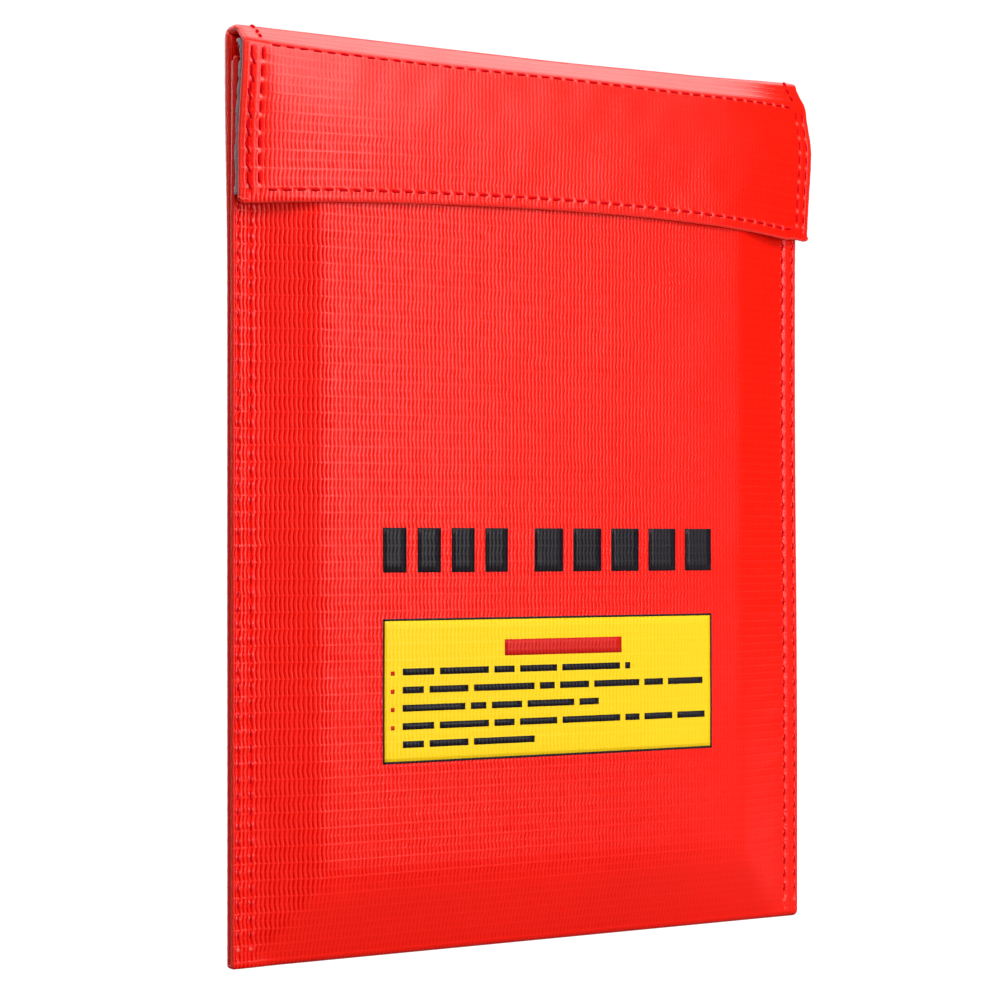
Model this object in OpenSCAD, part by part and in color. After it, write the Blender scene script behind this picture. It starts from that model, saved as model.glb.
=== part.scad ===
// Flat sewn safety bag: a lined pouch of coated glass cloth with a raised front and back,
// closed by a fold-over flap with a hook-and-loop strip. Millimetres, +Z up, front faces -Y.
// The origin is at the middle of the bottom of the closed bag's bounding box.

/* [Pouch] */
// Width across the side seams
bag_w = 230; // [180:1:300]
// Height from the bottom fold to the top crease
bag_h = 300; // [220:1:380]
// Thickness of the sewn side seams
seam_t = 4.6; // [4.4:0.1:7]
// Width of the flat sewn side seams
seam_w = 9; // [8:0.5:14]
// Rise of the front and back panels above the side seams
bulge = 7; // [5:0.5:15]
// Width of the sloping border round each raised panel
slope_w = 22; // [14:1:35]
// Height of the rounded fold at the bottom
fold_h = 3; // [2.5:0.1:5]
// Distance of the pouch mouth below the top crease
mouth_drop = 12; // [11:0.5:30]

/* [Cloth] */
// Thickness of the coated outer cloth
cloth_t = 0.6; // [0.4:0.05:0.8]
// Thickness of the glass-fibre lining
lining_t = 0.4; // [0.3:0.05:0.5]
// Depth of the turned-in hems of the flap and the mouth
hem_w = 9; // [6:0.5:12]

/* [Flap] */
// Width of the flap, which covers the side seams
flap_w = 233; // [184:1:304]
// Distance of the front crease below the top crease
band_drop = 8.1; // [6:0.1:12]
// Height of the flap's front face below the front crease
flap_fall = 47.3; // [35:0.1:80]

/* [Hook and loop] */
// Height of the hook strip and of the loop strip
strip_h = 20; // [16:1:30]
// Thickness of each strip
strip_t = 0.7; // [0.5:0.05:1.2]
// Distance of the strips above the flap's lower edge
strip_rise = 10; // [9.5:0.5:14]
// Distance of each strip's ends from the edges of the pouch
strip_end_gap = 34; // [33:1:60]
// Gap between the two strips of the closed bag
strip_gap = 0.3; // [0.3:0.05:1]

/* [Stitching] */
// Distance from one stitch to the next
stitch_pitch = 4.9; // [3:0.1:8]
// Length of the thread that shows on each stitch
stitch_len = 3.6; // [2:0.1:6]
// Width of the thread
thread_w = 0.9; // [0.5:0.1:1.4]
// Height of the thread above the cloth
thread_h = 0.35; // [0.2:0.05:0.6]
// Distance of the outer rows from the edges
outer_row = 2; // [1.6:0.1:4]
// Distance of the inner rows from the edges
inner_row = 6.6; // [5:0.1:8]

/* [Print] */
// Width of the printed notice
notice_w = 134; // [90:1:140]
// Height of the printed notice
notice_h = 47; // [40:1:60]
// Height of the notice's lower edge above the bottom fold
notice_z = 63; // [40:1:90]
// Sideways offset of the print from the middle of the bag
print_x = 3; // [-5:0.5:5]
// Height of the title bars' lower edge above the bottom fold
title_z = 125; // [115:1:160]
// Height of the title bars
title_h = 14.5; // [8:0.5:20]
// Thickness of the ink
ink_t = 0.12; // [0.08:0.01:0.2]

/* [Hidden] */

cloth_red = [0.92, 0.10, 0.06];
hem_red = [0.80, 0.08, 0.06];
thread_red = [0.62, 0.02, 0.10];
lining_grey = [0.52, 0.50, 0.53];
strip_grey = [0.38, 0.36, 0.39];
ink_yellow = [0.98, 0.82, 0.10];
ink_black = [0.05, 0.05, 0.06];
ink_red = [0.80, 0.05, 0.08];

slip = 0.05;               // play between layers sewn to each other
fold_gap = 0.3;            // clearance between bodies that turn on each other
crease_r = cloth_t;        // radius of the rolled cloth in a crease
crease_back = 2;           // the band's inner layers stop this far short of a crease

seam_face = seam_t / 2;                      // the seam's face, from the seam's middle plane
raised_face = seam_face + bulge;             // the raised panel's face, likewise
seam_in = bag_w / 2 - seam_w;                // half-width where the slopes start
raised_in = seam_in - slope_w;               // half-width of the raised flat
fold_nose = seam_face / 2;                   // radius of a side hem's rolled edge
sheet_end = bag_w / 2 - fold_nose;           // half-width of the flat panels
lip_z = bag_h - mouth_drop;                  // the pouch mouth
slope_len = norm([slope_w, bulge]);          // a slope's length
corner_shift = tan(atan2(bulge, slope_w) / 2);   // sideways step of a corner, per unit of depth

// the two creases the flap turns on: [y, z] of each axis, y from the seam's middle plane
rear_crease = [seam_face - cloth_t / 2, bag_h - crease_r];
flap_inner = raised_face + strip_t + strip_gap + strip_t + lining_t + cloth_t;
front_crease = [-(flap_inner + cloth_t / 2), rear_crease[1] - band_drop];
band_len = norm(front_crease - rear_crease);
band_tilt = atan2(rear_crease[1] - front_crease[1], rear_crease[0] - front_crease[0]);
flap_top = front_crease[1] - crease_r - fold_gap;
flap_low = front_crease[1] - flap_fall;
panel_top = rear_crease[1] - crease_r - fold_gap;

// the seam plane stands behind the origin, which is at the middle of the closed bag's depth
flap_row_y = flap_inner + cloth_t;
seam_y = (flap_row_y + thread_h - raised_face) / 2;

strip_z = flap_low + strip_rise;
strip_half = bag_w / 2 - strip_end_gap;

// lining: its slopes start on the seam's middle plane, a step inside the panel's
lining_step = 2;
lining_in = seam_in - lining_step;
lining_face = raised_face - cloth_t - slip;
lining_raised_in = raised_in - corner_shift * (cloth_t + slip) - slip;
lining_run = lining_in - lining_raised_in;
lining_len = norm([lining_run, lining_face]);
lining_shift = tan(atan2(lining_face, lining_run) / 2);

// the back's inner layers end below the band's when the bag is closed
inner_top = rear_crease[1] - 3.2;

module placed() {
    translate([0, seam_y, 0]) children();
}

// a shape and its mirror image in the seam's middle plane
module back_copy() {
    mirror([0, 1, 0]) children();
}

// block in front of the seam plane with sloping sides: half-width, lower z and upper z at each depth
module sloped_block(y0, half0, low0, high0, y1, half1, low1, high1) {
    polyhedron(
        points = [
            [-half0, -y0, low0], [half0, -y0, low0], [half0, -y0, high0], [-half0, -y0, high0],
            [-half1, -y1, low1], [half1, -y1, low1], [half1, -y1, high1], [-half1, -y1, high1],
        ],
        faces = [
            [0, 1, 2, 3], [7, 6, 5, 4], [0, 4, 5, 1], [1, 5, 6, 2], [2, 6, 7, 3], [3, 7, 4, 0],
        ]
    );
}

// the raised panel's block, inset by a depth d square to its faces, from rise r0 to rise r1
module raised_block(d, r0, r1, top, top_slopes) {
    side_step = d * slope_len / bulge;
    function run(r) = slope_w * r / bulge + side_step;
    function high(r) = top_slopes ? top - run(r) : top;
    sloped_block(
        seam_face + r0, seam_in - run(r0), fold_h + run(r0), high(r0),
        seam_face + r1, seam_in - run(r1), fold_h + run(r1), high(r1)
    );
}

// one outer panel: flat seam allowances round a raised middle, with its cloth's thickness
module panel(top, top_slopes) {
    over = top_slopes ? 0 : 1;
    difference() {
        union() {
            translate([-sheet_end, -seam_face, fold_h])
                cube([2 * sheet_end, cloth_t, top - fold_h]);
            raised_block(0, 0, bulge, top, top_slopes);
        }
        raised_block(cloth_t, -cloth_t * 2, bulge - cloth_t, top + over, top_slopes);
    }
}

// the raised lining's block, inset by a depth d square to its faces, from depth y0 to depth y1
module lining_block(d, y0, y1, top, top_slopes) {
    function run(y) = (lining_run * y + lining_len * d) / lining_face;
    function low(y) = fold_h + slip + lining_step + run(y);
    function high(y) = top_slopes ? top - lining_step - run(y) : top;
    sloped_block(
        y0, lining_in - run(y0), low(y0), high(y0),
        y1, lining_in - run(y1), low(y1), high(y1)
    );
}

// one lining: flat edges on the seam's middle plane round a raised middle
module lining(top, top_slopes) {
    low = fold_h + slip;
    over = top_slopes ? 0 : 1;
    difference() {
        union() {
            translate([-sheet_end + slip, -lining_t, low])
                cube([2 * (sheet_end - slip), lining_t, top - low]);
            lining_block(0, 0, lining_face, top, top_slopes);
        }
        lining_block(lining_t, -lining_t, lining_face - lining_t, top + over, top_slopes);
    }
}

// half of a side seam's turned-in edge: a rolled nose and the layer that lies inside the panel
module side_hem(side, top) {
    inner_face = lining_t + slip;
    layer_t = seam_face - cloth_t - slip - inner_face;
    scale([side, 1, 1])
    translate([0, 0, fold_h])
    linear_extrude(top - fold_h) {
        intersection() {
            translate([-sheet_end, -seam_face / 2]) circle(r = fold_nose, $fn = 48);
            translate([-bag_w / 2 - 1, -seam_face]) square([1 + fold_nose, seam_face]);
        }
        translate([-sheet_end, -inner_face - layer_t])
            square([seam_w - fold_nose - 1, layer_t]);
    }
}

// the front panel's section in plan, at a depth d inside its face
function section(d) = [
    [-sheet_end, d - seam_face],
    [-seam_in + corner_shift * d, d - seam_face],
    [-raised_in + corner_shift * d, d - raised_face],
    [raised_in - corner_shift * d, d - raised_face],
    [seam_in - corner_shift * d, d - seam_face],
    [sheet_end, d - seam_face],
];

// the front lining's section in plan, at a depth d inside its outer face
function lining_section(d) = [
    [lining_len * d / lining_face - lining_in, 0],
    [lining_shift * d - lining_raised_in, d - lining_face],
    [lining_raised_in - lining_shift * d, d - lining_face],
    [lining_in - lining_len * d / lining_face, 0],
];

function reversed(list) = [for (i = [len(list) - 1:-1:0]) list[i]];

// an upright layer between two sections
module section_layer(outer, inner, z0, z1) {
    translate([0, 0, z0])
        linear_extrude(z1 - z0)
            polygon(concat(outer, reversed(inner)));
}

// a row of stitches along +X from x = 0, standing on z = 0
module stitch_row(length) {
    count = floor(length / stitch_pitch);
    start = (length - count * stitch_pitch + stitch_pitch - stitch_len) / 2;
    for (i = [0:count - 1])
        translate([start + i * stitch_pitch, -thread_w / 2, 0])
            cube([stitch_len, thread_w, thread_h]);
}

// a row up a front face that stands at depth y, from z0 to z1
module upright_row(x, y, z0, z1) {
    translate([x, -y, z0])
        rotate([90, -90, 0])
            stitch_row(z1 - z0);
}

// a row across a front face that stands at depth y, from -half to half
module level_row(half, y, z) {
    translate([-half, -y, z])
        rotate([90, 0, 0])
            stitch_row(2 * half);
}

// one row of a side seam, with its thread on the front and on the back
module seam_row(x) {
    margin = 3;
    upright_row(x, seam_face, fold_h + margin, lip_z - margin);
    back_copy() upright_row(x, seam_face, fold_h + margin, panel_top - margin);
}

// a plate of the front face: lower left corner, size, depth of its back, thickness
module face_plate(x, z, w, h, y, t) {
    translate([x, -y - t, z]) cube([w, t, h]);
}

// a layer across the flap band: half-widths from x0 to x1, distances along the band and below it
module band_layer(x0, x1, s0, s1, depth, t) {
    translate([0, rear_crease[0], rear_crease[1]])
        rotate([band_tilt, 0, 0])
            translate([x0, -s1, -depth - t])
                cube([x1 - x0, s1 - s0, t]);
}

module bottom_fold() {
    corner = 1.6;
    color(cloth_red) placed()
        translate([-sheet_end, 0, 0])
            rotate([90, 0, 90])
                linear_extrude(2 * sheet_end)
                    difference() {
                        union() {
                            for (side = [-1, 1])
                                translate([side * (seam_face - corner), corner])
                                    circle(r = corner, $fn = 48);
                            translate([corner - seam_face, 0]) square([seam_t - 2 * corner, fold_h]);
                            translate([-seam_face, corner]) square([seam_t, fold_h - corner]);
                        }
                        translate([cloth_t - seam_face, cloth_t])
                            square([seam_t - 2 * cloth_t, fold_h]);
                    }
}

module front_panel() {
    color(cloth_red) placed() panel(lip_z - cloth_t, false);
}

module back_panel() {
    color(cloth_red) placed() back_copy() panel(panel_top, true);
}

module lining_fold() {
    wall = cloth_t + slip;
    half = seam_face - wall;
    color(lining_grey) placed()
        difference() {
            translate([-sheet_end + slip, -half, wall])
                cube([2 * (sheet_end - slip), 2 * half, fold_h - wall]);
            translate([-sheet_end, -half + lining_t, wall + lining_t])
                cube([2 * sheet_end, 2 * (half - lining_t), fold_h]);
        }
}

module front_lining() {
    color(lining_grey) placed() lining(lip_z - cloth_t - slip, false);
}

module back_lining() {
    color(lining_grey) placed() back_copy() lining(inner_top, true);
}

module front_left_hem() {
    color(hem_red) placed() side_hem(1, lip_z);
}

module front_right_hem() {
    color(hem_red) placed() side_hem(-1, lip_z);
}

module back_left_hem() {
    color(hem_red) placed() back_copy() side_hem(1, inner_top);
}

module back_right_hem() {
    color(hem_red) placed() back_copy() side_hem(-1, inner_top);
}

// the mouth's edge: the cloth turns over the lining and runs down inside it
module mouth_hem() {
    outer = lining_section(lining_t + slip);
    inner = lining_section(lining_t + slip + cloth_t);
    half = lining_in - 1;
    color(hem_red) placed()
        intersection() {
            union() {
                section_layer(section(0), inner, lip_z - cloth_t + slip, lip_z);
                section_layer(outer, inner, lip_z - hem_w, lip_z);
            }
            translate([-half, -raised_face, 0]) cube([2 * half, raised_face, bag_h]);
        }
}

module left_outer_stitches() {
    color(thread_red) placed() seam_row(outer_row - bag_w / 2);
}

module left_inner_stitches() {
    color(thread_red) placed() seam_row(inner_row - bag_w / 2);
}

module right_outer_stitches() {
    color(thread_red) placed() seam_row(bag_w / 2 - outer_row);
}

module right_inner_stitches() {
    color(thread_red) placed() seam_row(bag_w / 2 - inner_row);
}

module mouth_stitches() {
    color(thread_red) placed() level_row(raised_in - 2, raised_face, lip_z - hem_w + 2);
}

module loop_strip() {
    color(strip_grey) placed()
        face_plate(-strip_half, strip_z, 2 * strip_half, strip_h, raised_face, strip_t);
}

// the strips' stitches lie in the pile, so they stand beside the strip's edges
module strip_rows(y) {
    for (z = [strip_z - thread_w, strip_z + strip_h + thread_w])
        level_row(strip_half, y, z);
}

module loop_strip_stitches() {
    color(thread_red) placed() strip_rows(raised_face);
}

// two groups of plain blocks stand for the title
module title_print() {
    gap = 4.2;
    counts = [4, 5];
    spans = [0.36 * notice_w, 0.56 * notice_w];
    starts = [print_x - notice_w / 2, print_x + notice_w / 2 - spans[1]];
    color(ink_black) placed()
        for (g = [0, 1], i = [0:counts[g] - 1]) {
            block_w = (spans[g] + gap) / counts[g] - gap;
            face_plate(starts[g] + i * (block_w + gap), title_z, block_w, title_h,
                raised_face, ink_t);
        }
}

module notice_field() {
    color(ink_yellow) placed()
        face_plate(print_x - notice_w / 2, notice_z, notice_w, notice_h, raised_face, ink_t);
}

module notice_border() {
    line = 0.7;
    color(ink_black) placed()
        difference() {
            face_plate(print_x - notice_w / 2, notice_z, notice_w, notice_h,
                raised_face + ink_t, ink_t);
            face_plate(print_x - notice_w / 2 + line, notice_z + line,
                notice_w - 2 * line, notice_h - 2 * line, raised_face, 1);
        }
}

module notice_heading() {
    heading_w = 48;
    heading_h = 5.4;
    offset = 4;
    color(ink_red) placed()
        face_plate(print_x + offset - heading_w / 2, notice_z + notice_h - 7.4 - heading_h,
            heading_w, heading_h, raised_face + ink_t, ink_t);
}

line_pitch = 5.9;
first_line = notice_z + notice_h - 18.4;
line_indent = 7.5;
line_shares = [0.68, 0.92, 0.59, 0.92, 0.39];   // each line's length, as a share of the notice

// a line is a row of plain bars, whose lengths come in turn from a short list
bar_lengths = [12, 19, 8, 15, 24, 6];
bar_gap = 2.2;
function bar_len(line, k) = bar_lengths[(2 * line + k) % len(bar_lengths)];
function bar_start(line, k) =
    k == 0 ? 0 : bar_start(line, k - 1) + bar_len(line, k - 1) + bar_gap;

module notice_lines() {
    line_h = 2.2;
    shortest = 2;
    color(ink_black) placed()
        for (i = [0:len(line_shares) - 1], k = [0:9]) {
            left = line_shares[i] * notice_w - bar_start(i, k);
            if (left > shortest)
                face_plate(print_x - notice_w / 2 + line_indent + bar_start(i, k),
                    first_line - i * line_pitch, min(left, bar_len(i, k)), line_h,
                    raised_face + ink_t, ink_t);
        }
}

module notice_dots() {
    dot_r = 0.7;
    color(ink_red) placed()
        for (i = [0:3])
            translate([print_x - notice_w / 2 + line_indent / 2, -raised_face - ink_t,
                first_line - i * line_pitch + dot_r])
                rotate([90, 0, 0])
                    cylinder(r = dot_r, h = ink_t, $fn = 24);
}

// the band's cloth, with the rolled cloth of both creases
module flap_band() {
    color(cloth_red) placed()
        union() {
            band_layer(-flap_w / 2, flap_w / 2, 0, band_len, -cloth_t / 2, cloth_t);
            for (crease = [rear_crease, front_crease])
                translate([-flap_w / 2, crease[0], crease[1]])
                    rotate([0, 90, 0])
                        cylinder(r = crease_r, h = flap_w, $fn = 32);
        }
}

band_start = crease_back;
band_stop = band_len - crease_back;

module band_lining() {
    half = flap_w / 2 - 2;
    color(lining_grey) placed()
        band_layer(-half, half, band_start, band_stop, cloth_t * 1.5, lining_t);
}

module band_left_hem() {
    color(hem_red) placed()
        band_layer(-flap_w / 2, hem_w - flap_w / 2, band_start, band_stop, cloth_t / 2, cloth_t);
}

module band_right_hem() {
    color(hem_red) placed()
        band_layer(flap_w / 2 - hem_w, flap_w / 2, band_start, band_stop, cloth_t / 2, cloth_t);
}

// the side rows run on over the band's ends
module band_stitches() {
    color(thread_red) placed()
        translate([0, rear_crease[0], rear_crease[1]])
            rotate([band_tilt, 0, 0])
                for (x = [outer_row, inner_row, flap_w - inner_row, flap_w - outer_row])
                    translate([x - flap_w / 2, -band_stop, cloth_t / 2])
                        rotate([0, 0, 90])
                            stitch_row(band_stop - band_start);
}

hem_depth = flap_inner - cloth_t;        // the inner face of the flap's hems
hem_top = front_crease[1] - crease_back;

module flap_face() {
    color(cloth_red) placed()
        face_plate(-flap_w / 2, flap_low, flap_w, flap_top - flap_low, flap_inner, cloth_t);
}

module flap_lining() {
    inset = 2;
    color(lining_grey) placed()
        face_plate(inset - flap_w / 2, flap_low + inset, flap_w - 2 * inset,
            hem_top - flap_low - inset, hem_depth - lining_t, lining_t);
}

module flap_side_hem(x) {
    color(hem_red) placed()
        face_plate(x, flap_low, hem_w, hem_top - flap_low, hem_depth, cloth_t);
}

module flap_left_hem() {
    flap_side_hem(-flap_w / 2);
}

module flap_right_hem() {
    flap_side_hem(flap_w / 2 - hem_w);
}

module flap_bottom_hem() {
    half = flap_w / 2 - hem_w - slip;
    color(hem_red) placed()
        face_plate(-half, flap_low, 2 * half, hem_w, hem_depth, cloth_t);
}

module hook_strip() {
    color(strip_grey) placed()
        face_plate(-strip_half, strip_z, 2 * strip_half, strip_h,
            hem_depth - lining_t - strip_t, strip_t);
}

// the hook strip is sewn to the lining before the flap is made up, so its thread stays inside
module hook_strip_stitches() {
    color(thread_red) placed()
        translate([0, thread_h, 0])
            strip_rows(hem_depth - lining_t);
}

module flap_top_stitches() {
    color(thread_red) placed() level_row(flap_w / 2 - inner_row, flap_row_y, flap_top - 1);
}

module flap_bottom_stitches() {
    color(thread_red) placed() level_row(flap_w / 2 - inner_row, flap_row_y, flap_low + 4);
}

module flap_side_rows(side) {
    color(thread_red) placed()
        for (inset = [outer_row, inner_row])
            upright_row(side * (flap_w / 2 - inset), flap_row_y, flap_low + 5, flap_top - 2);
}

module flap_left_stitches() {
    flap_side_rows(-1);
}

module flap_right_stitches() {
    flap_side_rows(1);
}

bottom_fold();
front_panel();
back_panel();
lining_fold();
front_lining();
back_lining();
front_left_hem();
front_right_hem();
back_left_hem();
back_right_hem();
mouth_hem();
left_outer_stitches();
left_inner_stitches();
right_outer_stitches();
right_inner_stitches();
mouth_stitches();
loop_strip();
loop_strip_stitches();
title_print();
notice_field();
notice_border();
notice_heading();
notice_lines();
notice_dots();
flap_band();
band_lining();
band_left_hem();
band_right_hem();
band_stitches();
flap_face();
flap_lining();
flap_left_hem();
flap_right_hem();
flap_bottom_hem();
hook_strip();
hook_strip_stitches();
flap_top_stitches();
flap_bottom_stitches();
flap_left_stitches();
flap_right_stitches();
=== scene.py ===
"""A flat sewn battery safety bag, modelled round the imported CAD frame.

Lengths are written in millimetres, in the seam frame: X across the bag, Y from the middle plane
of its side seams with the front at -Y, Z up from the bottom fold. place() turns them into the
CAD frame in metres. Every cloth is a grid of points, so threads, print and strips can lie on it.
"""

import math

import bpy
import numpy as np
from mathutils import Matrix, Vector


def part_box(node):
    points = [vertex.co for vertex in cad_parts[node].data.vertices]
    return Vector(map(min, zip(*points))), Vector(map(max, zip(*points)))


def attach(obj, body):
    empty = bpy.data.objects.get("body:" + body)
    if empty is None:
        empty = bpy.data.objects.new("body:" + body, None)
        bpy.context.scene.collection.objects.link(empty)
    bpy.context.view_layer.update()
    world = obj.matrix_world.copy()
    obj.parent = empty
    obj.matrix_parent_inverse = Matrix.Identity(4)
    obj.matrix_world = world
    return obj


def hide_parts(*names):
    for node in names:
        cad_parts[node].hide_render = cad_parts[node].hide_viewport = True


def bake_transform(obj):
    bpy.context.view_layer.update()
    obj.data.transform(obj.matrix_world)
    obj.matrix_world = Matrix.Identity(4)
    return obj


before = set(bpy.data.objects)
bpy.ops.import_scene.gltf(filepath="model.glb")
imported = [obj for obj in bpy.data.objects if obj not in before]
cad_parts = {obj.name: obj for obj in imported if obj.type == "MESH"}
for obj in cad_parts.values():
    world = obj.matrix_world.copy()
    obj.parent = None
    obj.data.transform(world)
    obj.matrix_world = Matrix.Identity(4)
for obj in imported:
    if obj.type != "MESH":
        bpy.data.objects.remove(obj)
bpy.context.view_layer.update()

MM = 0.001


# ---- the CAD's own sizes

def box_mm(node):
    """A CAD node's lowest and highest corners."""
    low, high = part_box(node)
    return np.array(low) / MM, np.array(high) / MM


front_low = box_mm("front_panel")[0]
back_high = box_mm("back_panel")[1]
flap_low, flap_high = box_mm("flap_face")

SEAM_Y = (front_low[1] + back_high[1]) / 2  # the seams' middle plane in the CAD frame
BULGE_FACE = (back_high[1] - front_low[1]) / 2  # the raised faces, from that plane
SHEET_HALF = back_high[0]  # half-width of the flat cloth
BAG_HALF = -box_mm("front_left_hem")[0][0]  # half-width with the rolled edges
NOSE = BAG_HALF - SHEET_HALF  # how far a rolled edge stands out
SEAM_FACE = 2 * NOSE  # a seam's face, from the middle plane
RISE = BULGE_FACE - SEAM_FACE
LIP_Z = box_mm("mouth_hem")[1][2]
FLAP_HALF = flap_high[0]
FLAP_Z = flap_low[2]


def place(points):
    """Seam frame in millimetres to the CAD frame in metres."""
    return (np.asarray(points, float) + [0, SEAM_Y, 0]) * MM


def loose_boxes(node):
    """The boxes of a CAD node's separate solids, in the seam frame, from its mesh's islands."""
    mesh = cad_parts[node].data
    points = np.array([v.co for v in mesh.vertices], float) / MM - [0, SEAM_Y, 0]
    keys, ids = np.unique(points.round(3), axis=0, return_inverse=True)
    ids = ids.reshape(-1)
    parent = list(range(len(keys)))

    def root(i):
        while parent[i] != i:
            parent[i] = parent[parent[i]]
            i = parent[i]
        return i

    for a, b in (e.vertices for e in mesh.edges):
        parent[root(ids[a])] = root(ids[b])
    groups = {}
    for i in range(len(keys)):
        groups.setdefault(root(i), []).append(keys[i])
    boxes = [(np.min(g, axis=0), np.max(g, axis=0)) for g in groups.values()]
    return sorted(boxes, key=lambda b: (round(b[0][0], 1), round(b[0][2], 1)))


# ---- shape helpers

def smooth(t):
    """From 0 to 1 as t goes from 0 to 1, level at both ends."""
    t = np.clip(t, 0, 1)
    return t * t * (3 - 2 * t)


def soft_min(a, b, k):
    """The smaller of a and b, rounded off where they are within k of each other."""
    h = np.clip(0.5 + 0.5 * (b - a) / k, 0, 1)
    return b + (a - b) * h - k * h * (1 - h)


def soft_max(a, b, k):
    return -soft_min(-a, -b, k)


def along(a, b, t):
    """The place a share t of the way from a to b."""
    return a * (1 - t) + b * t


def ends(q, left, right):
    """A value that is one thing at the left end and another at the right."""
    return np.where(q < 0, left, right)


def waves(x, z, seed, length, count=7):
    """Gentle waves in many directions, between about -1 and 1."""
    rng = np.random.default_rng(seed)
    total = 0
    for _ in range(count):
        way, phase = rng.uniform(0, 2 * math.pi, 2)
        k = 2 * math.pi / (length * rng.uniform(0.6, 1.7))
        total = total + np.sin(k * (x * math.cos(way) + z * math.sin(way)) + phase)
    return total / count ** 0.5 * 0.7


# ---- the stitch rows' marks

STITCH_PITCH = 4.9
STITCH_LEN = 3.6
OUTER_ROW = 2.0  # a side seam's two rows, in from the bag's edge
INNER_ROW = 6.6
SIDE_ROWS = (OUTER_ROW, INNER_ROW)
FLAP_ROWS = (OUTER_ROW + 0.9, INNER_ROW)  # the flap's side rows, in from its edge
SEAM_GAP_Z = 6.2  # the middle of a gap between two stitches of a side seam
FLAP_GAP_Z = 249.1  # and of one on the flap's side rows
GROOVE_DEPTH = 0.30
KNOT_HEIGHT = 0.32
PUCKER = 0.06
NEAR_ROW = (-1.3, -0.7, -0.3, 0, 0.3, 0.7, 1.3)  # a grid's lines beside each row
NEAR_GAP = (-0.8, -0.35, 0, 0.35, 0.8, 1.9, 3.0)  # and round each gap between two stitches


def between_stitches(place_along):
    """1 at the middle of a gap, where place_along is 0, and 0 along a stitch."""
    return np.clip(np.cos(2 * math.pi * place_along / STITCH_PITCH), 0, 1)


def knot(distance, place_along):
    """1 where the cloth stands up between one stitch and the next, falling to 0 around it."""
    return np.exp(-(distance / 0.55) ** 2) * between_stitches(place_along) ** 5


def row_dip(distance, place_along):
    """A stitch row's groove, with its knots and a slight pucker beside them."""
    groove = -GROOVE_DEPTH * np.exp(-(distance / 0.7) ** 2)
    tug = PUCKER * np.exp(-(distance / 1.8) ** 2)
    return groove + KNOT_HEIGHT * knot(distance, place_along) + tug * between_stitches(place_along)


def at_seams(shape, x, z):
    """A stitch row's shape at both rows of each side seam."""
    return sum(
        shape(np.abs(np.abs(x) - (BAG_HALF - inset)), z - SEAM_GAP_Z) for inset in SIDE_ROWS
    )


def gap_lines(first_gap, low, high):
    """A grid's lines from low to high: close together round each gap of a stitch row."""
    gaps = np.arange(first_gap - STITCH_PITCH * 80, high + STITCH_PITCH, STITCH_PITCH)
    lines = (gaps[:, None] + np.array(NEAR_GAP)).ravel()
    return lines[(lines > low) & (lines < high)]


def pouch_columns():
    """Places across the front and the back: close together at the side seams' rows."""
    x = list(np.arange(0, 80, 5.0)) + list(np.arange(80, SHEET_HALF - 8, 2.0))
    x += [BAG_HALF - inset + d for inset in SIDE_ROWS for d in NEAR_ROW]
    x = np.array(sorted(v for v in x if v < SHEET_HALF - 0.2) + [SHEET_HALF])
    x = x[np.concatenate([[True], np.diff(x) > 0.2])]
    return np.unique(np.concatenate([-x, x]))


# ---- the raised front and back

SLOPE_FROM = BAG_HALF - 8.6  # the side slopes start this far from the middle
LEFT_SLOPE = 20.5  # the slopes' widths
RIGHT_SLOPE = 22.0
BOTTOM_SLOPE = 23.0
TOP_SLOPE = 26.0  # on the back only
BACK_TOP = 296.0
FRONT_SEED = 11
BACK_SEED = 41


def slopes(x, z, soft=0.10):
    """How far a panel falls short of its full height at its sides and at its bottom, 0 to 1."""
    side = soft_min((SLOPE_FROM + x) / LEFT_SLOPE, (SLOPE_FROM - x) / RIGHT_SLOPE, 0.3)
    return 1 - soft_min(side, 1, soft), 1 - soft_min((z - 2.2) / BOTTOM_SLOPE, 1, 3 * soft)


def panel_rise(x, z, seed, top):
    """The share of its full height that a panel has risen to. The front's slopes are pressed in
    crisply; the back, which has a top, is softer and a little uneven."""
    pressed = top is None
    power = 7 if pressed else 3
    lack_side, lack_end = slopes(x, z, 0.10 if pressed else 0.40)
    if not pressed:
        lack_end = soft_max(lack_end, 1 - soft_min((top - z) / TOP_SLOPE, 1, 0.9), 0.05)
    lack = np.clip(lack_side, 0, None) ** power + np.clip(lack_end, 0, None) ** power
    rise = soft_max(1 - lack ** (1 / power), 0, 0.05)
    if not pressed:
        rise = rise * (1 + 0.05 * waves(x, z, seed + 3, 130, 4))
    return rise


def panel_out(x, z, seed, top=None):
    """How far a panel's outer face stands from the seam plane."""
    rise = panel_rise(x, z, seed, top)
    crown = 0.5 * np.cos(np.clip(x / 110, -1, 1) * math.pi / 2)
    out = SEAM_FACE + rise * (RISE - 0.4 + crown)
    out = out + rise * (0.22 * waves(x, z, seed, 85) + 0.07 * waves(x, z, seed + 1, 24))
    tug = np.exp(-((np.abs(x) - SLOPE_FROM + 5) / 7) ** 2)
    out = out + 0.10 * tug * waves(x * 0.35, z, seed + 2, 9)
    return out + at_seams(row_dip, x, z) * smooth(z / 4)


def near_seams(x):
    """0 over the raised middle, 1 at the side seams."""
    return smooth((np.abs(x) - 92) / 24)


def front_spread(z):
    """How far the front's side seams stand forward, under the flap."""
    return 1.8 * smooth((z - 232) / 50)


def back_spread(z):
    """0 to 1 as the back's side seams part from the front's, towards the top."""
    return smooth((z - 215) / 70)


def front_y(x, z):
    return -panel_out(x, z, FRONT_SEED) - front_spread(z) * near_seams(x)


def back_y(x, z):
    return panel_out(x, z, BACK_SEED, BACK_TOP) + 2.2 * back_spread(z) * near_seams(x)


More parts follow.
